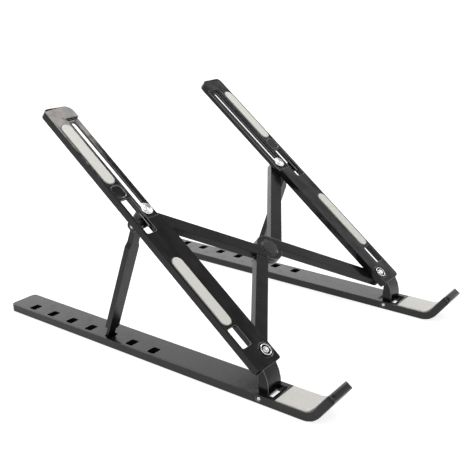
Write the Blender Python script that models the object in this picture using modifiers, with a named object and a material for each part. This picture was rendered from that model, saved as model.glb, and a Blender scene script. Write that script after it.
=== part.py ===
"""Folding laptop stand: two base rails, two sloping arms, two prop struts and a flat scissor of two cranked bars.

Run with: blender --background --python part.py
Units are metres, +Z up, +Y towards the slotted rear ends of the rails, +X to the right.
The stand is open at its full width, with each strut's foot in the fifth slot from the rear.
"""

import math

import bmesh
import bpy
from mathutils import Matrix, Vector

MM = 0.001

# Driving dimensions of a rail. "Out" is measured from a rail's centre line away from the middle of the stand.
HALF_SPREAD = 80.5 * MM
RAIL_WIDTH = 21.6 * MM
RAIL_THICK = 5.4 * MM
STAND_LENGTH = 264.4 * MM
FOOT_PROUD = 0.5 * MM
HOOK_LIFT = math.radians(54)
HOOK_INNER_RADIUS = 8.5 * MM
HOOK_STRAIGHT = 15.4 * MM
HOOK_TIP_ROUND = 2.2 * MM
RAIL_WALL = 1.9 * MM
RAIL_DECK = 2.2 * MM
WELL_FLOOR = FOOT_PROUD + 0.7 * MM
PIN_FROM_REAR = 216.0 * MM
PIN_HEIGHT = FOOT_PROUD + 3.0 * MM
PIN_RADIUS = 1.2 * MM
HOLE_RADIUS = 1.55 * MM
HINGE_OPENING = (9.1 * MM, 6.1 * MM)
HINGE_OPENING_HALF_WIDTH = 7.3 * MM
LUG_HALF_WIDTH = 6.7 * MM
BARREL_RADIUS = 2.9 * MM

# The row of slots and the strut that stands in one of them
SLOT_COUNT = 7
SLOT_IN_USE = 4
FIRST_SLOT_FROM_REAR = 19.4 * MM
SLOT_PITCH = 18.7 * MM
SLOT_OUT = 4.5 * MM
SLOT_WIDTH = 7.6 * MM
SLOT_LENGTH = 6.0 * MM

# Driving dimensions of an arm, along it from its hinge pin and square to it above the pin
ARM_SLOPE = math.radians(38.2)
ARM_OUTER = 10.85 * MM
ARM_INNER = 11.55 * MM
ARM_TOP = 14.0 * MM
ARM_START = 10.1 * MM
ARM_END = 221.1 * MM
ARM_PANEL = 2.0 * MM
ARM_SKIRT = 4.8 * MM
ARM_WALL = 1.6 * MM
TRACK_OUT = -5.5 * MM
TRACK_EDGE = -0.7 * MM
TRACK_DEPTH = 1.6 * MM
TRACK_FLOOR = 3.2 * MM
TRACK_SPAN = (125.0 * MM, 210.9 * MM)
SLOT_TRACK_WIDTH = 3.8 * MM
WINDOWS = ((26.1 * MM, 40.4 * MM), (115.0 * MM, 142.3 * MM))
WINDOW_OUT = (0.5 * MM, 9.0 * MM)
ARM_PADS = {"lower": (42.1 * MM, 94.4 * MM), "upper": (155.1 * MM, 206.4 * MM)}
ARM_PAD_OUT = 4.9 * MM
ARM_PAD_WIDTH = 8.5 * MM
PAD_RECESS = 0.8 * MM
PAD_THICK = 1.0 * MM

# The strut's pin on the arm, and the strut
STRUT_PIN = (126.1 * MM, 8.0 * MM)
STRUT_WIDTH = 9.0 * MM
STRUT_THICK = 4.0 * MM
NECK_WIDTH = 6.4 * MM
NECK_LENGTH = 12.5 * MM
TONGUE_WIDTH = 6.6 * MM
TONGUE_THICK = 2.2 * MM
TONGUE_REACH = 8.0 * MM
FOOT_DEPTH = 2.0 * MM
EAR_THICK = 1.5 * MM

# The scissor: two cranked bars in one layer under the arms, lapped at the hub
PIVOT_LOW = 18.8 * MM
PIVOT_SLIDE = 131.7 * MM
CRANK = 5.35 * MM
BAR_WIDTH = 9.0 * MM
BAR_TOP = ARM_TOP - 5.1 * MM
BAR_THICK = 5.4 * MM
HUB_RADIUS = 10.2 * MM
LAP_REACH = 14.0 * MM
LAP_GAP = 0.3 * MM
CAP_RADIUS = 6.2 * MM
CAP_SEAT = 1.3 * MM
SHANK_RADIUS = 1.5 * MM
SHANK_HOLE = 1.85 * MM
HEAD_RADIUS = 4.4 * MM
PIVOT_HEAD_RADIUS = 3.8 * MM
PIVOT_SEAT_RADIUS = 5.1 * MM
HEAD_THICK = 1.2 * MM
TAIL_RADIUS = 3.1 * MM
WASHER_RADIUS = 3.4 * MM

GAP = 0.3 * MM
PAST = 1.0 * MM
EDGE = 0.45 * MM
ARC_PITCH = 0.9 * MM
ROUND_STEPS = 20
PIN_STEPS = 14

# Worked out from the above
RAIL_REAR = STAND_LENGTH / 2
PIN_Y = RAIL_REAR - PIN_FROM_REAR
DECK_TOP = FOOT_PROUD + RAIL_THICK
PIVOT_OUT = TRACK_OUT
HALF_PIVOTS = HALF_SPREAD + PIVOT_OUT
HUB_ALONG = (PIVOT_LOW + PIVOT_SLIDE) / 2
HALF_BAR = math.hypot(HALF_PIVOTS, (PIVOT_SLIDE - PIVOT_LOW) / 2)
STRUT_OUT = SLOT_OUT


def slot_y(index):
    return RAIL_REAR - FIRST_SLOT_FROM_REAR - index * SLOT_PITCH


# Scene, collections and materials

def clear_scene():
    for thing in list(bpy.data.objects):
        bpy.data.objects.remove(thing, do_unlink=True)


def new_collection(name):
    collection = bpy.data.collections.new(name)
    bpy.context.scene.collection.children.link(collection)
    return collection


def new_material(name, color, roughness, metallic=0.0):
    material = bpy.data.materials.new(name)
    material.use_nodes = True
    shader = material.node_tree.nodes["Principled BSDF"]
    shader.inputs["Base Color"].default_value = (*color, 1.0)
    shader.inputs["Roughness"].default_value = roughness
    shader.inputs["Metallic"].default_value = metallic
    return material


clear_scene()
PARTS = new_collection("folding_laptop_stand")
CUTTERS = new_collection("cutters")
BLACK = new_material("black_plastic", (0.018, 0.018, 0.020), 0.34)
SILICONE = new_material("grey_silicone", (0.56, 0.56, 0.53), 0.62)
RUBBER = new_material("black_rubber", (0.03, 0.03, 0.03), 0.8)
RIVET_STEEL = new_material("rivet_steel", (0.78, 0.78, 0.76), 0.25, 1.0)
CAP_BLACK = new_material("black_cap", (0.03, 0.03, 0.032), 0.45)
NYLON = new_material("white_nylon", (0.75, 0.74, 0.70), 0.5)
PIN_STEEL = new_material("pin_steel", (0.45, 0.45, 0.46), 0.35, 1.0)


# Shape helpers: each returns a mesh object that isn't yet a part

def rounded_outline(corners):
    """An outline from (x, y, radius) corners, each radius made an arc."""
    points = []
    for i, (x, y, radius) in enumerate(corners):
        here = Vector((x, y))
        before = Vector(corners[i - 1][:2])
        after = Vector(corners[(i + 1) % len(corners)][:2])
        if radius <= 0:
            points.append(here)
            continue
        back = (before - here).normalized()
        on = (after - here).normalized()
        half_angle = back.angle(on) / 2
        centre = here + (back + on).normalized() * radius / math.sin(half_angle)
        start = here + back * radius / math.tan(half_angle) - centre
        finish = here + on * radius / math.tan(half_angle) - centre
        sweep = start.angle_signed(finish)
        steps = max(2, min(6, round(abs(sweep) * radius / ARC_PITCH)))
        points += [centre + Matrix.Rotation(-sweep * k / steps, 2) @ start for k in range(steps + 1)]
    return points


def rectangle(x0, x1, y0, y1, radius=0.0):
    return rounded_outline([(x0, y0, radius), (x1, y0, radius), (x1, y1, radius), (x0, y1, radius)])


def mesh_of(thing):
    """The evaluated curve as a welded mesh object in the cutters' collection."""
    bpy.context.view_layer.update()
    evaluated = thing.evaluated_get(bpy.context.evaluated_depsgraph_get())
    mesh = bpy.data.meshes.new_from_object(evaluated)
    work = bmesh.new()
    work.from_mesh(mesh)
    bmesh.ops.remove_doubles(work, verts=work.verts, dist=1e-7)
    bmesh.ops.recalc_face_normals(work, faces=work.faces)
    work.to_mesh(mesh)
    work.free()
    solid = bpy.data.objects.new(thing.name + "_solid", mesh)
    solid.matrix_world = thing.matrix_world
    CUTTERS.objects.link(solid)
    bpy.data.objects.remove(thing, do_unlink=True)
    return solid


def plate(outline, low, high, turn=None):
    """A flat outline as a solid between two heights, then turned by a matrix."""
    curve = bpy.data.curves.new("outline", "CURVE")
    curve.dimensions = "2D"
    curve.fill_mode = "BOTH"
    curve.extrude = (high - low) / 2
    spline = curve.splines.new("POLY")
    spline.points.add(len(outline) - 1)
    for point, (x, y) in zip(spline.points, outline):
        point.co = (x, y, 0, 1)
    spline.use_cyclic_u = True
    thing = bpy.data.objects.new("outline", curve)
    CUTTERS.objects.link(thing)
    solid = mesh_of(thing)
    solid.data.transform(Matrix.Translation((0, 0, (low + high) / 2)))
    if turn:
        solid.data.transform(turn)
    return solid


def box(x0, x1, y0, y1, z0, z1, radius=0.0):
    return plate(rectangle(x0, x1, y0, y1, radius), z0, z1)


# Turns the flat outline's (x, y) into (Y, Z) and its thickness into X
SIDEWAYS = Matrix(((0, 0, 1, 0), (1, 0, 0, 0), (0, 1, 0, 0), (0, 0, 0, 1)))


def side_plate(outline, x0, x1):
    return plate(outline, x0, x1, SIDEWAYS)


def disc(radius, low, high, centre=(0, 0)):
    """A round solid standing along Z."""
    bpy.ops.mesh.primitive_cylinder_add(
        vertices=PIN_STEPS if radius < 2.5 * MM else ROUND_STEPS, radius=radius, depth=high - low, location=(centre[0], centre[1], (low + high) / 2)
    )
    return into_cutters(bpy.context.object)


def cross_pin(radius, x0, x1, y, z):
    """A round solid lying along X."""
    bpy.ops.mesh.primitive_cylinder_add(
        vertices=PIN_STEPS,
        radius=radius,
        depth=x1 - x0,
        location=((x0 + x1) / 2, y, z),
        rotation=(0, math.pi / 2, 0),
    )
    return into_cutters(bpy.context.object)


def into_cutters(thing):
    bpy.context.view_layer.update()
    thing.data.transform(thing.matrix_world)
    thing.matrix_world = Matrix.Identity(4)
    for collection in list(thing.users_collection):
        collection.objects.unlink(thing)
    CUTTERS.objects.link(thing)
    return thing


def turned(profile):
    """A solid turned about Z from (radius, height) points that run from top to bottom."""
    mesh = bpy.data.meshes.new("profile")
    mesh.from_pydata([(r, 0, z) for r, z in profile], [(i, i + 1) for i in range(len(profile) - 1)], [])
    thing = bpy.data.objects.new("profile", mesh)
    CUTTERS.objects.link(thing)
    screw = thing.modifiers.new("turn", "SCREW")
    screw.steps = ROUND_STEPS
    screw.render_steps = ROUND_STEPS
    screw.use_merge_vertices = True
    screw.merge_threshold = 1e-6
    return mesh_of(thing)


def combine(body, others, operation):
    """Apply Boolean modifiers one after the other and drop the other solids."""
    for other in others:
        cut = body.modifiers.new("cut", "BOOLEAN")
        cut.operation = operation
        cut.object = other
        cut.solver = "EXACT"
        bpy.context.view_layer.update()
        evaluated = body.evaluated_get(bpy.context.evaluated_depsgraph_get())
        mesh = bpy.data.meshes.new_from_object(evaluated)
        body.modifiers.clear()
        body.data = mesh
        bpy.data.objects.remove(other, do_unlink=True)
    return body


def join(body, *others):
    return combine(body, others, "UNION")


def cut(body, *others):
    return combine(body, others, "DIFFERENCE")


def soften(body, width=EDGE, segments=2):
    """Round the sharp edges of a shape, before it is cut or joined."""
    bevel = body.modifiers.new("edges", "BEVEL")
    bevel.width = width
    bevel.segments = segments
    bevel.limit_method = "ANGLE"
    bevel.angle_limit = math.radians(50)
    bevel.use_clamp_overlap = True
    bpy.context.view_layer.update()
    evaluated = body.evaluated_get(bpy.context.evaluated_depsgraph_get())
    mesh = bpy.data.meshes.new_from_object(evaluated)
    body.modifiers.clear()
    body.data = mesh
    return body


def part(name, solid, material, parent, side=1, smooth_angle=40):
    """Make a solid a named part. A shape made for the right-hand side is mirrored for the left."""
    if side < 0:
        solid.data.transform(Matrix.Scale(-1, 4, (1, 0, 0)))
        solid.data.flip_normals()
    solid.name = name
    solid.data.name = name
    solid.data.materials.clear()
    solid.data.materials.append(material)
    solid.data.shade_smooth()
    solid.data.set_sharp_from_angle(angle=math.radians(smooth_angle))
    CUTTERS.objects.unlink(solid)
    PARTS.objects.link(solid)
    solid.parent = parent
    return solid


def empty(name, parent=None, location=(0, 0, 0), rotation=(0, 0, 0)):
    thing = bpy.data.objects.new(name, None)
    thing.empty_display_size = 0.01
    thing.location = location
    thing.rotation_euler = rotation
    thing.parent = parent
    PARTS.objects.link(thing)
    return thing


# Base rail, its pads and its hinge pin

def hook_arc(radius, centre, turn=HOOK_LIFT, steps=9):
    """Points of the hook's bend from flat up to a turn, around a centre above the deck."""
    y, z = centre
    return [(y - radius * math.sin(turn * k / steps), z - radius * math.cos(turn * k / steps)) for k in range(steps + 1)]


def hook_centre():
    """Where the bend's centre lies, so that the lip's foremost point ends the stand's length."""
    outer = HOOK_INNER_RADIUS + RAIL_THICK
    sine, cosine = math.sin(HOOK_LIFT), math.cos(HOOK_LIFT)
    reach = outer * sine + HOOK_STRAIGHT * cosine - HOOK_TIP_ROUND * (sine + cosine - 1)
    return (-STAND_LENGTH / 2 + reach, DECK_TOP + HOOK_INNER_RADIUS)


def along_lip(point, distance):
    return (point[0] - distance * math.cos(HOOK_LIFT), point[1] + distance * math.sin(HOOK_LIFT))


def rail_outline():
    """The rail from the side, its lip's tip rounded, and a little over-long at the rear, which is trimmed afterwards."""
    centre = hook_centre()
    outer = hook_arc(HOOK_INNER_RADIUS + RAIL_THICK, centre)
    inner = hook_arc(HOOK_INNER_RADIUS, centre)
    outline = [(RAIL_REAR + PAST, FOOT_PROUD)] + outer
    tip = [(*along_lip(edge[-1], HOOK_STRAIGHT), HOOK_TIP_ROUND) for edge in (outer, inner)]
    plain = [(y, z, 0) for y, z in outline]
    far = [(y, z, 0) for y, z in inner[::-1] + [(RAIL_REAR + PAST, DECK_TOP)]]
    return rounded_outline(plain + tip + far)


def ledge_strip(low, high, start, turn, half_width):
    """A strip on the deck that starts up the bend, between two depths below the surface, its front corners round."""
    centre = hook_centre()
    under = hook_arc(HOOK_INNER_RADIUS + low, centre, turn, 5)
    over = hook_arc(HOOK_INNER_RADIUS + high, centre, turn, 5)
    outline = [(start, DECK_TOP - low)] + under + over[::-1] + [(start, DECK_TOP - high)]
    front = under[-1][0]
    corners = [
        (-half_width, front, LEDGE_CORNER), (half_width, front, LEDGE_CORNER),
        (half_width, start + PAST, 0), (-half_width, start + PAST, 0),
    ]
    plan = plate(rounded_outline(corners), 0, 30 * MM)
    return combine(side_plate(outline, -half_width - PAST, half_width + PAST), [plan], "INTERSECT")


LEDGE_START = PIN_Y - HINGE_OPENING[0] - 1.7 * MM
LEDGE_HALF_WIDTH = 10.2 * MM
LEDGE_TURN = math.radians(48)
LEDGE_CORNER = 4.5 * MM
FOOT_PADS = {"rear": (RAIL_REAR - 9.4 * MM, RAIL_REAR - 3.0 * MM), "front": (PIN_Y - 27.2 * MM, PIN_Y - 12.2 * MM)}
FOOT_PAD_HALF_WIDTH = 7.0 * MM
FOOT_PAD_RECESS = 0.9 * MM


def rail_pockets():
    """The hollow underside: a row of pockets beside the wells, small ones between the wells, and three further on."""
    half = RAIL_WIDTH / 2 - RAIL_WALL
    rib = 0.8 * MM
    top = DECK_TOP - RAIL_DECK
    well = SLOT_OUT - SLOT_WIDTH / 2 - RAIL_WALL
    pockets = []
    edges = [slot_y(0) + SLOT_PITCH / 2 - k * SLOT_PITCH for k in range(SLOT_COUNT + 1)]
    for k in range(SLOT_COUNT):
        pockets.append(box(-half, well, edges[k + 1] + rib, edges[k] - rib, 0, top, 1.0 * MM))
        if k:
            near = slot_y(k) + SLOT_LENGTH / 2 + RAIL_WALL
            far = slot_y(k - 1) - SLOT_LENGTH / 2 - RAIL_WALL
            pockets.append(box(well + 1.2 * MM, half, near, far, 0, top, 1.0 * MM))
    last = edges[-1]
    hinge = PIN_Y + HINGE_OPENING[1] + 2.5 * MM
    ends = [last + (hinge - last) * k / 3 for k in range(4)]
    pockets += [box(-half, half, near + rib, far - rib, 0, top, 1.0 * MM) for far, near in zip(ends, ends[1:])]
    return pockets


def rail_blank():
    """The bent strip, its lip's corners trimmed square to the lip and its rear corners square to the deck."""
    half = RAIL_WIDTH / 2
    far = 400 * MM
    blank = side_plate(rail_outline(), -half, half)
    centre = hook_centre()
    tip = along_lip(hook_arc(HOOK_INNER_RADIUS, centre)[-1], HOOK_STRAIGHT + 0.02 * MM)
    lip_trim = plate(rectangle(-half - 0.01 * MM, half + 0.01 * MM, 0, far, 4.0 * MM), -far, far)
    lip_trim.data.transform(Matrix.Translation((0, *tip)) @ Matrix.Rotation(-HOOK_LIFT, 4, "X"))
    rear_trim = box(-half - 0.01 * MM, half + 0.01 * MM, RAIL_REAR - far, RAIL_REAR, -far, far, 3.0 * MM)
    return soften(combine(blank, [lip_trim, rear_trim], "INTERSECT"), 0.6 * MM)


def base_rail(side, name, parent):
    half = RAIL_WIDTH / 2
    rail = rail_blank()
    front, rear = HINGE_OPENING
    mouth = HINGE_OPENING_HALF_WIDTH
    opening = box(-mouth, mouth, PIN_Y - front, PIN_Y + rear, WELL_FLOOR, DECK_TOP + PAST, 0.8 * MM)
    wider = mouth + 0.5 * MM
    drop = box(-wider, wider, PIN_Y - 3.4 * MM, PIN_Y + rear + 0.5 * MM, -PAST, WELL_FLOOR + 0.6 * MM, 0.8 * MM)
    slots = [
        box(SLOT_OUT - SLOT_WIDTH / 2, SLOT_OUT + SLOT_WIDTH / 2, slot_y(k) - SLOT_LENGTH / 2,
            slot_y(k) + SLOT_LENGTH / 2, WELL_FLOOR, DECK_TOP + PAST, 0.9 * MM)
        for k in range(SLOT_COUNT)
    ]
    recess = ledge_strip(PAD_RECESS, -PAST, LEDGE_START, LEDGE_TURN, LEDGE_HALF_WIDTH)
    feet = [
        box(-FOOT_PAD_HALF_WIDTH, FOOT_PAD_HALF_WIDTH, y0, y1, -PAST, FOOT_PROUD + FOOT_PAD_RECESS, 2.0 * MM)
        for y0, y1 in FOOT_PADS.values()
    ]
    pin_hole = cross_pin(HOLE_RADIUS, -half - PAST, half + PAST, PIN_Y, PIN_HEIGHT)
    cut(rail, opening, drop, *slots, recess, *feet, *rail_pockets(), pin_hole)
    part(name, rail, BLACK, parent, side)


def ledge_pad(side, name, parent):
    turn = LEDGE_TURN - math.radians(3)
    strip = ledge_strip(PAD_RECESS - GAP, -0.5 * MM, LEDGE_START - GAP, turn, LEDGE_HALF_WIDTH - GAP)
    part(name, strip, SILICONE, parent, side)


def foot_pad(side, name, place, parent):
    y0, y1 = FOOT_PADS[place]
    inset = FOOT_PAD_HALF_WIDTH - GAP
    pad = box(-inset, inset, y0 + GAP, y1 - GAP, 0, FOOT_PROUD + FOOT_PAD_RECESS - GAP, 1.8 * MM)
    part(name, soften(pad, 0.2 * MM, 1), RUBBER, parent, side)


def arm_hinge_pin(side, name, parent):
    half = RAIL_WIDTH / 2 - 0.2 * MM
    pin = cross_pin(PIN_RADIUS, -half, half, PIN_Y, PIN_HEIGHT)
    part(name, soften(pin, 0.2 * MM, 1), PIN_STEEL, parent, side)


# Sloping arm, in the frame of its hinge pin: Y along the arm, Z square to it

def arm_shell():
    outline = rounded_outline([
        (-ARM_INNER, ARM_START, 1.5 * MM), (ARM_OUTER, ARM_START, 3.0 * MM), (ARM_OUTER, ARM_END, 3.5 * MM),
        (-ARM_INNER, ARM_END, 5.5 * MM),
    ])
    shell = soften(plate(outline, ARM_TOP - ARM_SKIRT, ARM_TOP), 0.5 * MM)
    under = ARM_TOP - ARM_PANEL
    low = ARM_TOP - ARM_SKIRT - PAST
    outside = ARM_OUTER - ARM_WALL
    inside = ARM_INNER - ARM_WALL
    rib = TRACK_EDGE - 0.9 * MM
    strip_start = PIVOT_LOW + 6.5 * MM
    hollows = [
        box(rib + 1.2 * MM, outside, ARM_START + 4.0 * MM, ARM_END - ARM_WALL, low, under, 1 * MM),
        box(-inside, rib, TRACK_SPAN[0] - 1 * MM, ARM_END - ARM_WALL, low, ARM_TOP - TRACK_FLOOR, 1 * MM),
        box(-inside, rib, strip_start, TRACK_SPAN[0] - 3 * MM, low, under, 1 * MM),
    ]
    return cut(shell, *hollows)


def arm_lug():
    """The lug that drops from the arm's end into the rail and holds the hinge barrel."""
    outline = [
        (ARM_START + 0.6 * MM, ARM_TOP - 0.35 * MM), (5.0 * MM, 11.1 * MM), (1.5 * MM, 8.4 * MM),
        (-1.5 * MM, 5.0 * MM), (-2.6 * MM, 1.2 * MM), (0.6 * MM, -2.2 * MM), (5.4 * MM, 2.0 * MM),
        (10.6 * MM, 9.5 * MM), (15.6 * MM, ARM_TOP - 4.0 * MM), (15.6 * MM, ARM_TOP - 1.0 * MM),
        (11.5 * MM, ARM_TOP - 0.35 * MM),
    ]
    lug = side_plate(outline, -LUG_HALF_WIDTH, LUG_HALF_WIDTH)
    return join(lug, cross_pin(BARREL_RADIUS, -LUG_HALF_WIDTH, LUG_HALF_WIDTH, 0, 0))


def strut_ears():
    """Two ears under the first window that hold the strut's pin."""
    along, height = STRUT_PIN
    inner = STRUT_OUT - NECK_WIDTH / 2 - 0.35 * MM
    outer = STRUT_OUT + NECK_WIDTH / 2 + 0.35 * MM
    profile = rounded_outline([
        (along - 5.5 * MM, ARM_TOP - 1.2 * MM, 0), (along - 2.9 * MM, height - 2.9 * MM, 2.4 * MM),
        (along + 2.9 * MM, height - 2.9 * MM, 2.4 * MM), (along + 5.5 * MM, ARM_TOP - 1.2 * MM, 0),
    ])
    return [side_plate(profile, inner - EAR_THICK, inner), side_plate(profile, outer, outer + EAR_THICK)]


def sloping_arm(side, name, parent):
    arm = join(arm_shell(), arm_lug(), *strut_ears())
    track = box(-ARM_INNER - PAST, TRACK_EDGE, TRACK_SPAN[0], TRACK_SPAN[1], ARM_TOP - TRACK_DEPTH, ARM_TOP + PAST, 0.4 * MM)
    slot_end = PIVOT_LOW + math.sqrt((2 * HALF_BAR) ** 2 - (2 * CRANK) ** 2) + 2.2 * MM
    slide_slot = plate(
        rectangle(TRACK_OUT - SLOT_TRACK_WIDTH / 2, TRACK_OUT + SLOT_TRACK_WIDTH / 2,
                  PIVOT_SLIDE - 2.2 * MM, slot_end, SLOT_TRACK_WIDTH / 2 - 0.01 * MM),
        ARM_TOP - ARM_SKIRT - PAST, ARM_TOP + PAST,
    )
    windows = [
        box(WINDOW_OUT[0], WINDOW_OUT[1], y0, y1, ARM_TOP - ARM_PANEL - 0.2 * MM, ARM_TOP + PAST, 1.2 * MM)
        for y0, y1 in WINDOWS
    ]
    pad_half = ARM_PAD_WIDTH / 2
    pads = [
        box(ARM_PAD_OUT - pad_half, ARM_PAD_OUT + pad_half, y0, y1, ARM_TOP - PAD_RECESS, ARM_TOP + PAST,
            pad_half - 0.01 * MM)
        for y0, y1 in ARM_PADS.values()
    ]
    finger_dimple = box(WINDOW_OUT[0], WINDOW_OUT[1], 144.0 * MM, 153.5 * MM, ARM_TOP - 0.5 * MM, ARM_TOP + PAST, 3 * MM)
    seat = disc(PIVOT_SEAT_RADIUS, ARM_TOP - 0.9 * MM, ARM_TOP + PAST, (PIVOT_OUT, PIVOT_LOW))
    shank = disc(SHANK_HOLE, -PAST, ARM_TOP + PAST, (PIVOT_OUT, PIVOT_LOW))
    pin_hole = cross_pin(HOLE_RADIUS, -ARM_OUTER, ARM_OUTER, 0, 0)
    strut_hole = cross_pin(HOLE_RADIUS, STRUT_OUT - 5.6 * MM, STRUT_OUT + 5.5 * MM, *STRUT_PIN)
    cut(arm, track, slide_slot, *windows, *pads, finger_dimple, seat, shank, pin_hole, strut_hole)
    part(name, arm, BLACK, parent, side)


def arm_pad(side, name, place, parent):
    y0, y1 = ARM_PADS[place]
    half = ARM_PAD_WIDTH / 2 - GAP
    floor = ARM_TOP - PAD_RECESS + GAP
    pad = box(ARM_PAD_OUT - half, ARM_PAD_OUT + half, y0 + GAP, y1 - GAP, floor, floor + PAD_THICK, half - 0.01 * MM)
    part(name, soften(pad, 0.25 * MM, 2), SILICONE, parent, side)


# Strut, in the frame of its pin: Y down along the strut, Z towards the rear face

def strut_angle():
    """The strut's length, and its direction as an angle in the YZ plane, from its pin to its foot in the slot."""
    along, height = STRUT_PIN
    pin_y = PIN_Y + along * math.cos(ARM_SLOPE) - height * math.sin(ARM_SLOPE)
    pin_z = PIN_HEIGHT + along * math.sin(ARM_SLOPE) + height * math.cos(ARM_SLOPE)
    foot_y = slot_y(SLOT_IN_USE) + SLOT_LENGTH / 2 - 0.35 * MM - TONGUE_THICK / 2
    foot_z = DECK_TOP - FOOT_DEPTH
    return math.hypot(foot_y - pin_y, foot_z - pin_z), math.atan2(foot_z - pin_z, foot_y - pin_y)


def prop_strut(side, name, parent):
    length = strut_angle()[0]
    neck, body, tongue = NECK_WIDTH / 2, STRUT_WIDTH / 2, TONGUE_WIDTH / 2
    shoulder = length - TONGUE_REACH
    outline = rounded_outline([
        (-neck, 0.4 * MM, 0), (neck, 0.4 * MM, 0), (neck, NECK_LENGTH, 1 * MM), (body, NECK_LENGTH + 3.2 * MM, 1 * MM),
        (body, shoulder - 1.2 * MM, 0.6 * MM), (body - 1.2 * MM, shoulder, 0.3 * MM),
        (1.2 * MM - body, shoulder, 0.3 * MM), (-body, shoulder - 1.2 * MM, 0.6 * MM),
        (-body, NECK_LENGTH + 3.2 * MM, 1 * MM), (-neck, NECK_LENGTH, 1 * MM),
    ])
    strut = plate(outline, -STRUT_THICK / 2, STRUT_THICK / 2)
    foot = soften(box(-tongue, tongue, shoulder - 4 * MM, length, -TONGUE_THICK / 2, TONGUE_THICK / 2, 0.5 * MM), 0.5 * MM, 1)
    barrel = cross_pin(3.0 * MM, -neck, neck, 0, 0)
    groove = box(-2.6 * MM, 2.6 * MM, NECK_LENGTH + 7 * MM, shoulder - 5 * MM, 0.6 * MM, STRUT_THICK, 2.0 * MM)
    pin_hole = cross_pin(HOLE_RADIUS, -neck - PAST, neck + PAST, 0, 0)
    join(strut, foot)
    cut(strut, groove)
    soften(strut, 0.35 * MM, 1)
    join(strut, barrel)
    cut(strut, pin_hole)
    strut.data.transform(Matrix.Translation((STRUT_OUT, 0, 0)))
    part(name, strut, BLACK, parent, side)


def strut_pin(side, name, parent):
    reach = NECK_WIDTH / 2 + EAR_THICK
    along, height = STRUT_PIN
    pin = cross_pin(PIN_RADIUS, STRUT_OUT - reach - 0.3 * MM, STRUT_OUT + reach + 0.5 * MM, along, height)
    part(name, soften(pin, 0.2 * MM, 1), PIN_STEEL, parent, side)


# Scissor bars, in the frame of the hub: Y along the arms, Z square to them, at the hinge pin's height

def bar_direction():
    """The angle of the half of bar A that runs to the left arm's slide, from its hub side to its pivot."""
    to_pivot = math.atan2((PIVOT_SLIDE - PIVOT_LOW) / 2, -HALF_PIVOTS)
    return to_pivot - math.asin(CRANK / HALF_BAR)


def half_bar(angle):
    """One half of a bar: it runs past the hub at the crank's offset and ends round its pivot."""
    length = math.sqrt(HALF_BAR ** 2 - CRANK ** 2)
    half = BAR_WIDTH / 2
    top, bottom = BAR_TOP, BAR_TOP - BAR_THICK
    solid = plate(
        rounded_outline([
            (0, CRANK - half, 0), (length + half, CRANK - half, half - 0.01 * MM),
            (length + half, CRANK + half, half - 0.01 * MM), (0, CRANK + half, 0),
        ]),
        bottom, top,
    )
    soften(solid, 0.5 * MM)
    groove = box(LAP_REACH + 5 * MM, length - 7 * MM, CRANK - half + 1.7 * MM, CRANK + half - 1.7 * MM,
                 bottom - PAST, top - 2.2 * MM, 1 * MM)
    hole = disc(SHANK_HOLE, bottom - PAST, top + PAST, (length, CRANK))
    cut(solid, groove, hole)
    solid.data.transform(Matrix.Rotation(angle, 4, "Z"))
    return solid


def lap_band(heights, angle, mirrored):
    """The way past the hub that one half of the other bar takes when the stand is open."""
    reach = BAR_WIDTH / 2 + GAP
    band = box(-PAST, LAP_REACH, CRANK - reach, CRANK + reach, *heights)
    band.data.transform(Matrix.Rotation(angle, 4, "Z"))
    if mirrored:
        band.data.transform(Matrix.Scale(-1, 4, (1, 0, 0)))
        band.data.flip_normals()
    return band


def cranked_bar(name, parent, upper):
    """Bar A is the upper one at the lap and runs to the left slide. Bar B is its mirror image, and the lower one."""
    angle = bar_direction()
    middle = BAR_TOP - BAR_THICK / 2
    top, bottom = (BAR_TOP, middle + LAP_GAP / 2) if upper else (middle - LAP_GAP / 2, BAR_TOP - BAR_THICK)
    bar = half_bar(angle)
    if not upper:
        bar.data.transform(Matrix.Scale(-1, 4, (1, 0, 0)))
        bar.data.flip_normals()
    other = bar.copy()
    other.data = bar.data.copy()
    CUTTERS.objects.link(other)
    other.data.transform(Matrix.Rotation(math.pi, 4, "Z"))
    lap = (BAR_TOP - BAR_THICK - PAST, middle + LAP_GAP / 2) if upper else (middle - LAP_GAP / 2, BAR_TOP + PAST)
    for half in (bar, other):
        cut(half, disc(HUB_RADIUS + GAP, *lap), lap_band(lap, angle, upper), lap_band(lap, angle + math.pi, upper))
    hub = disc(HUB_RADIUS, bottom, top)
    join(bar, hub, other)
    cut(bar, disc(SHANK_HOLE, bottom - PAST, top + PAST))
    if upper:
        cut(bar, disc(CAP_RADIUS + GAP, BAR_TOP - CAP_SEAT, BAR_TOP + PAST))
    part(name, bar, BLACK, parent)


def headed_rivet(name, parent, radius, head_top, tail, location):
    """A turned rivet: a low domed head with a driven centre, a shank, and a rolled tail under the bar."""
    tail_top = tail - GAP
    profile = [
        (0.0, head_top - 0.35 * MM), (1.3 * MM, head_top - 0.35 * MM), (1.7 * MM, head_top - 0.05 * MM),
        (radius - 0.5 * MM, head_top - 0.05 * MM), (radius, head_top - 0.55 * MM), (radius, head_top - HEAD_THICK),
        (SHANK_RADIUS, head_top - HEAD_THICK), (SHANK_RADIUS, tail_top), (TAIL_RADIUS, tail_top),
        (TAIL_RADIUS - 0.2 * MM, tail_top - 0.7 * MM), (TAIL_RADIUS - 1.2 * MM, tail_top - 1.0 * MM),
        (0.0, tail_top - 1.0 * MM),
    ]
    rivet = turned(profile)
    rivet.data.transform(Matrix.Translation((location[0], location[1], 0)))
    part(name, rivet, RIVET_STEEL, parent)


def slide_washer(name, parent, location):
    washer = disc(WASHER_RADIUS, BAR_TOP + GAP, ARM_TOP - TRACK_FLOOR - GAP, location)
    soften(washer, 0.2 * MM, 1)
    cut(washer, disc(SHANK_HOLE, 0, ARM_TOP, location))
    part(name, washer, NYLON, parent)


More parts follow.
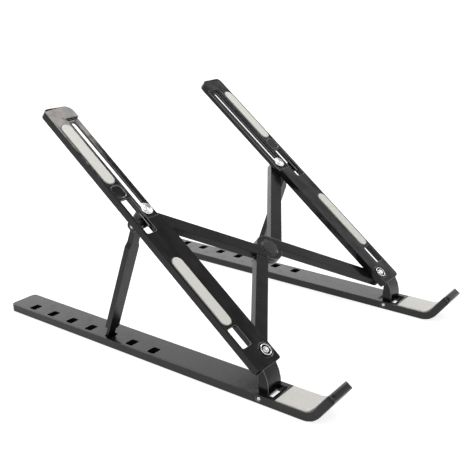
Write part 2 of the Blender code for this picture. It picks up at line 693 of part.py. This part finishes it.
def hub_rivet(name, parent):
    """The hub's pin: a broad flat head that lies flush in bar A, and a tail rolled under bar B."""
    seat = BAR_TOP - CAP_SEAT + GAP
    tail = BAR_TOP - BAR_THICK - GAP
    rivet = turned([
        (0.0, BAR_TOP + 0.15 * MM), (CAP_RADIUS - 1.0 * MM, BAR_TOP + 0.1 * MM), (CAP_RADIUS, BAR_TOP - 0.25 * MM),
        (CAP_RADIUS, seat), (SHANK_RADIUS, seat), (SHANK_RADIUS, tail), (TAIL_RADIUS, tail),
        (TAIL_RADIUS - 0.4 * MM, tail - 0.9 * MM), (0.0, tail - 0.9 * MM),
    ])
    part(name, rivet, CAP_BLACK, parent)


def build():
    stand = empty("stand")
    for side, word in ((-1, "left"), (1, "right")):
        rail = empty(f"{word}_rail_frame", stand, (side * HALF_SPREAD, 0, 0))
        base_rail(side, f"{word}_rail", rail)
        ledge_pad(side, f"{word}_ledge_pad", rail)
        arm_hinge_pin(side, f"{word}_arm_hinge_pin", rail)
        for place in FOOT_PADS:
            foot_pad(side, f"{word}_{place}_foot_pad", place, rail)
        arm = empty(f"{word}_arm_frame", rail, (0, PIN_Y, PIN_HEIGHT), (ARM_SLOPE, 0, 0))
        sloping_arm(side, f"{word}_arm", arm)
        for place in ARM_PADS:
            arm_pad(side, f"{word}_{place}_arm_pad", place, arm)
        strut_pin(side, f"{word}_strut_pin", arm)
        angle = strut_angle()[1] - ARM_SLOPE
        strut = empty(f"{word}_strut_frame", arm, (0, *STRUT_PIN), (angle, 0, 0))
        prop_strut(side, f"{word}_strut", strut)
    hub = empty("hub_frame", stand, (0, PIN_Y, PIN_HEIGHT), (ARM_SLOPE, 0, 0))
    scissor = empty("scissor_frame", hub, (0, HUB_ALONG, 0))
    cranked_bar("cross_bar_a", scissor, True)
    cranked_bar("cross_bar_b", scissor, False)
    hub_rivet("hub_rivet", scissor)
    tail = BAR_TOP - BAR_THICK
    for side, word in ((-1, "left"), (1, "right")):
        x = side * HALF_PIVOTS
        headed_rivet(f"{word}_slide_rivet", hub, HEAD_RADIUS, ARM_TOP - 0.1 * MM, tail, (x, PIVOT_SLIDE))
        slide_washer(f"{word}_slide_washer", hub, (x, PIVOT_SLIDE))
        headed_rivet(f"{word}_pivot_rivet", hub, PIVOT_HEAD_RADIUS, ARM_TOP + 0.6 * MM, tail, (x, PIVOT_LOW))
    for leftover in list(CUTTERS.objects):
        bpy.data.objects.remove(leftover, do_unlink=True)
    bpy.context.view_layer.update()


build()
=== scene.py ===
import math

import bmesh
import bpy
from mathutils import Matrix, Vector


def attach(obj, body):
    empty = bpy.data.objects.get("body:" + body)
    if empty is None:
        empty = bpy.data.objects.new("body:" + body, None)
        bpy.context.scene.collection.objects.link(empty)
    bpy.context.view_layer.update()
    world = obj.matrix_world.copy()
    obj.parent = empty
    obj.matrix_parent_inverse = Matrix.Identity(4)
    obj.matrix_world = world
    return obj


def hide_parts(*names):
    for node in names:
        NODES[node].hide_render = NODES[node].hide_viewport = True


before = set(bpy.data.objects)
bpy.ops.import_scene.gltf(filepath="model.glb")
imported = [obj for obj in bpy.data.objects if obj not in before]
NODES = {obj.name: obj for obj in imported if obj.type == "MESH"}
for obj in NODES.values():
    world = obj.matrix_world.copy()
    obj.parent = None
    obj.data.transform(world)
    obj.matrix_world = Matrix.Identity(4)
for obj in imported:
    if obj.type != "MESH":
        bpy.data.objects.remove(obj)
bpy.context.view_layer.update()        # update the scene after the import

MM = 0.001
SIDES = (("left", -1), ("right", 1))

# The stand's shared layout, in metres
PIN_Y, PIN_Z = -83.8 * MM, 3.5 * MM
ARM_SLOPE = math.radians(38.2)
ARM_TOP = 14.0 * MM
HALF_SPREAD = 80.5 * MM
HALF_PIVOTS = 75.0 * MM
PIVOT_LOW, PIVOT_SLIDE = 18.8 * MM, 131.7 * MM
BAR_TOP, BAR_THICK = 8.9 * MM, 5.4 * MM
DECK_TOP = 5.9 * MM
SLOT_PITCH, FIRST_SLOT_Y = 18.7 * MM, 112.8 * MM
CAD_SHARP, PIECE_SHARP, EDGE_SHARP = 34, 35, 50     # degrees
EDGE_WIDTH = 0.28 * MM
JOIN_WITHIN = 0.002 * MM
ARM_FRAME = Matrix.Translation((0, PIN_Y, PIN_Z)) @ Matrix.Rotation(ARM_SLOPE, 4, "X")


# Materials

def shader_material(name, color, roughness, metallic=0.0, specular=0.5):
    material = bpy.data.materials.new(name)
    material.use_nodes = True
    shader = material.node_tree.nodes["Principled BSDF"]
    shader.inputs["Base Color"].default_value = (*color, 1.0)
    shader.inputs["Roughness"].default_value = roughness
    shader.inputs["Metallic"].default_value = metallic
    shader.inputs["Specular IOR Level"].default_value = specular
    return material, material.node_tree, shader


def noise(tree, scale, detail=3.0):
    place = tree.nodes.new("ShaderNodeTexCoord")
    texture = tree.nodes.new("ShaderNodeTexNoise")
    texture.inputs["Scale"].default_value = scale
    texture.inputs["Detail"].default_value = detail
    tree.links.new(place.outputs["Object"], texture.inputs["Vector"])
    return texture.outputs["Fac"]


def spread(tree, factor, low, high, start=0.35, end=0.65):
    ramp = tree.nodes.new("ShaderNodeMapRange")
    ramp.inputs["From Min"].default_value = start
    ramp.inputs["From Max"].default_value = end
    ramp.inputs["To Min"].default_value = low
    ramp.inputs["To Max"].default_value = high
    tree.links.new(factor, ramp.inputs["Value"])
    return ramp.outputs["Result"]


def two_tone(tree, factor, first, second):
    ramp = tree.nodes.new("ShaderNodeValToRGB")
    ramp.color_ramp.elements[0].position = 0.35
    ramp.color_ramp.elements[0].color = (*first, 1.0)
    ramp.color_ramp.elements[1].position = 0.65
    ramp.color_ramp.elements[1].color = (*second, 1.0)
    tree.links.new(factor, ramp.inputs["Fac"])
    return ramp.outputs["Color"]


def bump(tree, shader, height):
    """Raise the surface by a height in metres."""
    node = tree.nodes.new("ShaderNodeBump")
    node.inputs["Distance"].default_value = 1.0
    node.inputs["Strength"].default_value = 1.0
    tree.links.new(height, node.inputs["Height"])
    tree.links.new(node.outputs["Normal"], shader.inputs["Normal"])


def moulded_plastic(name, dark, light, rough, grain, flow, specular=0.5, waves=45.0):
    """Moulded plastic: a faint grain, slow ripples from the mould's flow, and uneven sheen."""
    material, tree, shader = shader_material(name, dark, rough[0], specular=specular)
    tree.links.new(two_tone(tree, noise(tree, 60.0), dark, light), shader.inputs["Base Color"])
    tree.links.new(spread(tree, noise(tree, 130.0, 4.0), *rough), shader.inputs["Roughness"])
    fine = spread(tree, noise(tree, 2600.0, 2.0), 0.0, grain, 0.2, 0.8)
    slow = spread(tree, noise(tree, waves, 1.5), 0.0, flow, 0.2, 0.8)
    total = tree.nodes.new("ShaderNodeMath")
    total.operation = "ADD"
    tree.links.new(fine, total.inputs[0])
    tree.links.new(slow, total.inputs[1])
    bump(tree, shader, total.outputs[0])
    return material


def silicone(name):
    material, tree, shader = shader_material(name, (0.52, 0.52, 0.49), 0.6, specular=0.35)
    shade = two_tone(tree, noise(tree, 900.0, 3.0), (0.50, 0.50, 0.472), (0.54, 0.54, 0.512))
    tree.links.new(shade, shader.inputs["Base Color"])
    tree.links.new(spread(tree, noise(tree, 300.0), 0.52, 0.7), shader.inputs["Roughness"])
    bump(tree, shader, spread(tree, noise(tree, 2200.0, 2.0), 0.0, 0.00003, 0.2, 0.8))
    return material


def rubber(name):
    material, tree, shader = shader_material(name, (0.02, 0.02, 0.02), 0.8, specular=0.3)
    tree.links.new(two_tone(tree, noise(tree, 500.0), (0.016, 0.016, 0.016), (0.03, 0.03, 0.03)),
                   shader.inputs["Base Color"])
    tree.links.new(spread(tree, noise(tree, 300.0), 0.7, 0.9), shader.inputs["Roughness"])
    bump(tree, shader, spread(tree, noise(tree, 1800.0, 2.0), 0.0, 0.00003, 0.2, 0.8))
    return material


def nickel(name, first, second, rough):
    material, tree, shader = shader_material(name, first, rough[0], metallic=1.0)
    tree.links.new(two_tone(tree, noise(tree, 420.0), first, second), shader.inputs["Base Color"])
    tree.links.new(spread(tree, noise(tree, 700.0, 4.0), *rough), shader.inputs["Roughness"])
    bump(tree, shader, spread(tree, noise(tree, 900.0, 2.0), 0.0, 4e-6, 0.2, 0.8))
    return material


def nylon(name):
    material, tree, shader = shader_material(name, (0.72, 0.71, 0.66), 0.45)
    tree.links.new(two_tone(tree, noise(tree, 350.0), (0.68, 0.67, 0.62), (0.75, 0.74, 0.70)),
                   shader.inputs["Base Color"])
    bump(tree, shader, spread(tree, noise(tree, 1500.0), 0.0, 0.00001, 0.2, 0.8))
    return material


# Each black: dark and light tone, roughness range, grain and flow heights, specular level
ARM_BLACK = moulded_plastic(
    "arm_black", (0.0030, 0.0030, 0.0035), (0.0050, 0.0050, 0.0056), (0.12, 0.20), 2e-6, 5e-4, 0.26, 60.0)
RAIL_BLACK = moulded_plastic(
    "rail_black", (0.0040, 0.0040, 0.0045), (0.0070, 0.0070, 0.0076), (0.19, 0.28), 6e-6, 3e-5, 0.34)
BAR_BLACK = moulded_plastic(
    "bar_black", (0.0032, 0.0032, 0.0037), (0.0055, 0.0055, 0.0060), (0.20, 0.30), 5e-6, 3e-5, 0.26)
STRUT_BLACK = moulded_plastic(
    "strut_black", (0.0035, 0.0035, 0.0040), (0.0060, 0.0060, 0.0065), (0.24, 0.34), 6e-6, 3e-5, 0.26)
# The edge black is a painted highlight: a lighter, glossier black on the rounded edges, standing in for
# the thin bright lines they catch
EDGE_HIGHLIGHT = moulded_plastic(
    "edge_painted_highlight", (0.060, 0.060, 0.064), (0.085, 0.085, 0.090), (0.22, 0.32), 2e-6, 2e-5, 0.9)
# The cap black is the hub cap's own colour, and it is also the painted shade in the pivot screws' grooves
CAP_BLACK_AND_GROOVE_SHADE = moulded_plastic(
    "cap_black_and_groove_shade", (0.010, 0.010, 0.011), (0.016, 0.016, 0.018), (0.24, 0.34), 5e-6, 1e-5, 0.4)
PAD_GREY = silicone("pad_grey")
FOOT_BLACK = rubber("foot_black")
RIVET_NICKEL = nickel("rivet_nickel", (0.95, 0.95, 0.93), (0.88, 0.88, 0.86), (0.16, 0.26))
PIN_STEEL = nickel("pin_steel", (0.60, 0.60, 0.61), (0.50, 0.50, 0.51), (0.25, 0.42))
WASHER_NYLON = nylon("washer_nylon")


# Shape helpers

def turned_piece(name, profile, place, body, material, steps=56, dark=None):
    """A lathe shape from (radius, height) points, put in place and riding on a body.

    dark is (inner radius, outer radius, lowest height) of a band in black, which is painted shade.
    """
    shape = bmesh.new()
    rings = []
    for radius, height in profile:
        if radius == 0:
            rings.append([shape.verts.new((0, 0, height))])
            continue
        rings.append([
            shape.verts.new((radius * math.cos(a), radius * math.sin(a), height))
            for a in (2 * math.pi * k / steps for k in range(steps))
        ])
    for upper, lower in zip(rings, rings[1:]):
        for k in range(steps):
            n = (k + 1) % steps
            if len(upper) == 1:
                shape.faces.new((upper[0], lower[k], lower[n]))
            elif len(lower) == 1:
                shape.faces.new((upper[k], lower[0], upper[n]))
            else:
                shape.faces.new((upper[k], lower[k], lower[n], upper[n]))
    bmesh.ops.recalc_face_normals(shape, faces=shape.faces)
    piece = finished_piece(name, shape, place, body, material)
    # the dark band is painted shade, in the black of the hub cap
    if dark:
        piece.data.materials.append(CAP_BLACK_AND_GROOVE_SHADE)
        for face in piece.data.polygons:
            reach = max(math.hypot(*piece.data.vertices[v].co[:2]) for v in face.vertices)
            if dark[0] < reach < dark[1] and face.center.z > dark[2]:
                face.material_index = 1
    return piece


def finished_piece(name, shape, place, body, material):
    mesh = bpy.data.meshes.new(name)
    shape.to_mesh(mesh)
    shape.free()
    mesh.materials.append(material)
    mesh.shade_smooth()
    mesh.set_sharp_from_angle(angle=math.radians(PIECE_SHARP))
    piece = bpy.data.objects.new(name, mesh)
    bpy.context.scene.collection.objects.link(piece)
    piece.matrix_world = place
    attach(piece, body)
    return piece


def arc(centre, radius, start, end, steps):
    """Points round part of a circle in a profile, angles in degrees from the outward direction."""
    return [
        (centre[0] + radius * math.cos(math.radians(start + (end - start) * k / steps)),
         centre[1] + radius * math.sin(math.radians(start + (end - start) * k / steps)))
        for k in range(steps + 1)
    ]


# Finishes on the CAD pieces

def assign(node, material):
    thing = NODES[node]
    thing.data.materials.clear()
    thing.data.materials.append(material)
    thing.data.shade_smooth()
    thing.data.set_sharp_from_angle(angle=math.radians(CAD_SHARP))


def soften(node):
    """Round a moulded piece's sharp edges by a little, in a lighter black that paints a highlight on
    them.
    """
    NODES[node].modifiers.new("join", "WELD").merge_threshold = JOIN_WITHIN
    edge = NODES[node].modifiers.new("edges", "BEVEL")
    edge.width = EDGE_WIDTH
    edge.segments = 2
    edge.limit_method = "ANGLE"
    edge.angle_limit = math.radians(EDGE_SHARP)
    edge.use_clamp_overlap = False
    # the rounded edges take the lighter black, a painted highlight
    NODES[node].data.materials.append(EDGE_HIGHLIGHT)
    edge.material = 1
    NODES[node].modifiers.new("shading", "WEIGHTED_NORMAL").keep_sharp = True


for word, _ in SIDES:
    assign(f"{word}_rail", RAIL_BLACK)
    assign(f"{word}_arm", ARM_BLACK)
    assign(f"{word}_strut", STRUT_BLACK)
    for pad in ("ledge_pad", "lower_arm_pad", "upper_arm_pad"):
        assign(f"{word}_{pad}", PAD_GREY)
    for foot in ("front_foot_pad", "rear_foot_pad"):
        assign(f"{word}_{foot}", FOOT_BLACK)
    for pin in ("arm_hinge_pin", "strut_pin"):
        assign(f"{word}_{pin}", PIN_STEEL)
    for rivet in ("slide_rivet", "pivot_rivet"):
        assign(f"{word}_{rivet}", RIVET_NICKEL)
    assign(f"{word}_slide_washer", WASHER_NYLON)
assign("cross_bar_a", BAR_BLACK)
assign("cross_bar_b", BAR_BLACK)
assign("hub_rivet", CAP_BLACK_AND_GROOVE_SHADE)
for node in ("left_arm", "right_arm", "left_rail", "right_rail", "cross_bar_a", "cross_bar_b"):
    soften(node)


# Rivets and screws, finer than the CAD's turned solids

HEAD_RADIUS = 4.4 * MM
PIVOT_HEAD_RADIUS = 3.8 * MM
SHANK_RADIUS = 1.5 * MM
TAIL_RADIUS = 3.1 * MM
# the black band in the pivot screws' groove is painted shade
SCREW_GROOVE_SHADE = (2.25 * MM, 3.25 * MM, ARM_TOP - 0.6 * MM)
SLIDE_RISE, SCREW_RISE = -0.1 * MM, 0.6 * MM        # heads against the arm's top
TAIL_TOP = BAR_TOP - BAR_THICK - 0.3 * MM


def rivet_profile(top):
    """A rolled head: a centre dimple, a raised bead round it, a groove and a rounded outer rim."""
    rim = arc((HEAD_RADIUS - 0.75 * MM, top - 0.8 * MM), 0.75 * MM, 90, 0, 6)
    return [
        (0.0, top - 0.5 * MM), (0.7 * MM, top - 0.45 * MM), (1.1 * MM, top - 0.12 * MM),
        (1.45 * MM, top),
        (1.9 * MM, top - 0.02 * MM), (2.2 * MM, top - 0.3 * MM), (2.5 * MM, top - 0.38 * MM),
        (2.9 * MM, top - 0.2 * MM),
    ] + rim + rivet_shank(HEAD_RADIUS, top)


def screw_profile(top):
    """A small head with a domed middle, a deep groove and a thin raised ring."""
    ring = arc((PIVOT_HEAD_RADIUS - 0.3 * MM, top - 0.3 * MM), 0.3 * MM, 180, 0, 8)
    return [
        (0.0, top - 0.35 * MM), (0.45 * MM, top - 0.32 * MM), (0.75 * MM, top - 0.02 * MM),
        (1.3 * MM, top),
        (1.9 * MM, top - 0.12 * MM), (2.2 * MM, top - 0.45 * MM), (2.3 * MM, top - 1.0 * MM),
        (PIVOT_HEAD_RADIUS - 0.7 * MM, top - 1.0 * MM), (PIVOT_HEAD_RADIUS - 0.6 * MM, top - 0.7 * MM),
    ] + ring + rivet_shank(PIVOT_HEAD_RADIUS, top)


def rivet_shank(head, top):
    tail = arc((TAIL_RADIUS - 0.9 * MM, TAIL_TOP - 0.1 * MM), 0.9 * MM, 0, -90, 5)
    return [
        (head, top - 1.1 * MM), (head - 0.1 * MM, top - 1.2 * MM), (SHANK_RADIUS, top - 1.2 * MM),
        (SHANK_RADIUS, TAIL_TOP), (TAIL_RADIUS, TAIL_TOP),
    ] + tail + [(0.0, TAIL_TOP - 1.0 * MM)]


for word, side in SIDES:
    slide_body = "bar_a_body" if side < 0 else "bar_b_body"
    slide_place = ARM_FRAME @ Matrix.Translation((side * HALF_PIVOTS, PIVOT_SLIDE, 0))
    slide = turned_piece(f"{word}_slide_rivet_fine", rivet_profile(ARM_TOP + SLIDE_RISE),
                         slide_place, slide_body,
                         RIVET_NICKEL)
    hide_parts(f"{word}_slide_rivet")
    low_place = ARM_FRAME @ Matrix.Translation((side * HALF_PIVOTS, PIVOT_LOW, 0))
    # the pivot screw's groove is painted black, as painted shade
    low = turned_piece(f"{word}_pivot_rivet_fine", screw_profile(ARM_TOP + SCREW_RISE), low_place,
                       f"{word}_arm_body", RIVET_NICKEL, dark=SCREW_GROOVE_SHADE)
    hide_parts(f"{word}_pivot_rivet")


# Witness rings that the mould's ejector pins leave on the rails' decks

RING_RADIUS, RING_BAND, RING_RISE = 2.0 * MM, 0.22 * MM, 0.05 * MM
RING_INSET = 3.6 * MM
RINGS = 6


def witness_ring(name, place, body):
    inner, outer = RING_RADIUS - RING_BAND, RING_RADIUS + RING_BAND
    profile = [
        (inner, -RING_RISE), (RING_RADIUS - RING_BAND / 2, RING_RISE),
        (RING_RADIUS + RING_BAND / 2, RING_RISE), (outer, -RING_RISE), (inner, -RING_RISE),
    ]
    return turned_piece(name, profile, place, body, RAIL_BLACK, 32)


for word, side in SIDES:
    for k in range(RINGS):
        y = FIRST_SLOT_Y - (k + 0.5) * SLOT_PITCH
        place = Matrix.Translation((side * (HALF_SPREAD - RING_INSET), y, DECK_TOP))
        witness_ring(f"{word}_deck_ring_{k}", place, f"{word}_rail_body")


# Studio

SKY_TOP = 0.30
FAR_SIDE = (0.74, 0.67, 0.0)
FAR_GAIN = 2.0
FLOOR_GLOW = 0.80
KEY_POWER = 9.0
TOP_POWER = 4.2
FLOOR_REACH = 60.0
EYE = (-0.4110, -0.2988, 0.2345)
AIM = (0.01142, 0.01001, 0.05709)
LENS, SENSOR = 60.1, 36.0       # mm


def floor():
    shape = bmesh.new()
    bmesh.ops.create_grid(shape, x_segments=1, y_segments=1, size=FLOOR_REACH)
    mesh = bpy.data.meshes.new("floor")
    shape.to_mesh(mesh)
    shape.free()
    material, tree, shader = shader_material("floor_white", (0.40, 0.40, 0.40), 0.7, specular=0.1)
    shader.inputs["Emission Color"].default_value = (1.0, 1.0, 1.0, 1.0)
    shader.inputs["Emission Strength"].default_value = FLOOR_GLOW
    tree.links.new(spread(tree, noise(tree, 6.0), 0.68, 0.72), shader.inputs["Roughness"])
    mesh.materials.append(material)
    plane = bpy.data.objects.new("floor", mesh)
    bpy.context.scene.collection.objects.link(plane)


def softbox(name, location, target, size, power, color=(1, 1, 1)):
    light = bpy.data.lights.new(name, "AREA")
    light.shape = "RECTANGLE"
    light.size, light.size_y = size
    light.energy = power
    light.color = color
    lamp = bpy.data.objects.new(name, light)
    lamp.location = location
    lamp.rotation_euler = (Vector(target) - Vector(location)).to_track_quat("-Z", "Y").to_euler()
    bpy.context.scene.collection.objects.link(lamp)


def studio():
    """A pale room, white at the horizon and dimmer overhead, with two softboxes."""
    world = bpy.data.worlds.new("studio")
    world.use_nodes = True
    tree = world.node_tree
    place = tree.nodes.new("ShaderNodeTexCoord")
    split = tree.nodes.new("ShaderNodeSeparateXYZ")
    tree.links.new(place.outputs["Generated"], split.inputs["Vector"])
    level = spread(tree, split.outputs["Z"], 1.0, SKY_TOP, 0.30, 0.75)
    tree.nodes["Background"].inputs["Color"].default_value = (1.0, 1.0, 1.0, 1.0)
    side = tree.nodes.new("ShaderNodeVectorMath")
    side.operation = "DOT_PRODUCT"
    side.inputs[1].default_value = FAR_SIDE
    tree.links.new(place.outputs["Generated"], side.inputs[0])
    both = tree.nodes.new("ShaderNodeMath")
    both.operation = "MULTIPLY"
    tree.links.new(level, both.inputs[0])
    tree.links.new(spread(tree, side.outputs["Value"], 1.0, FAR_GAIN, 0.3, 0.9), both.inputs[1])
    tree.links.new(both.outputs[0], tree.nodes["Background"].inputs["Strength"])
    bpy.context.scene.world = world
    floor()
    softbox("key", (-0.9, -0.5, 1.3), (0, 0, 0.05), (0.9, 0.9), KEY_POWER)
    softbox("top", (0.32, 0.17, 0.84), (-0.08, 0.09, 0.15), (0.36, 0.36), TOP_POWER, (1.0, 0.955, 0.92))
    bpy.context.scene.view_settings.view_transform = "Standard"


def camera():
    lens = bpy.data.cameras.new("camera")
    lens.sensor_width = SENSOR
    lens.lens = LENS
    lens.clip_start = 0.01
    eye = bpy.data.objects.new("camera", lens)
    eye.location = EYE
    target = Vector(AIM)
    eye.rotation_euler = (target - eye.location).to_track_quat("-Z", "Y").to_euler()
    bpy.context.scene.collection.objects.link(eye)
    bpy.context.scene.camera = eye


studio()
camera()
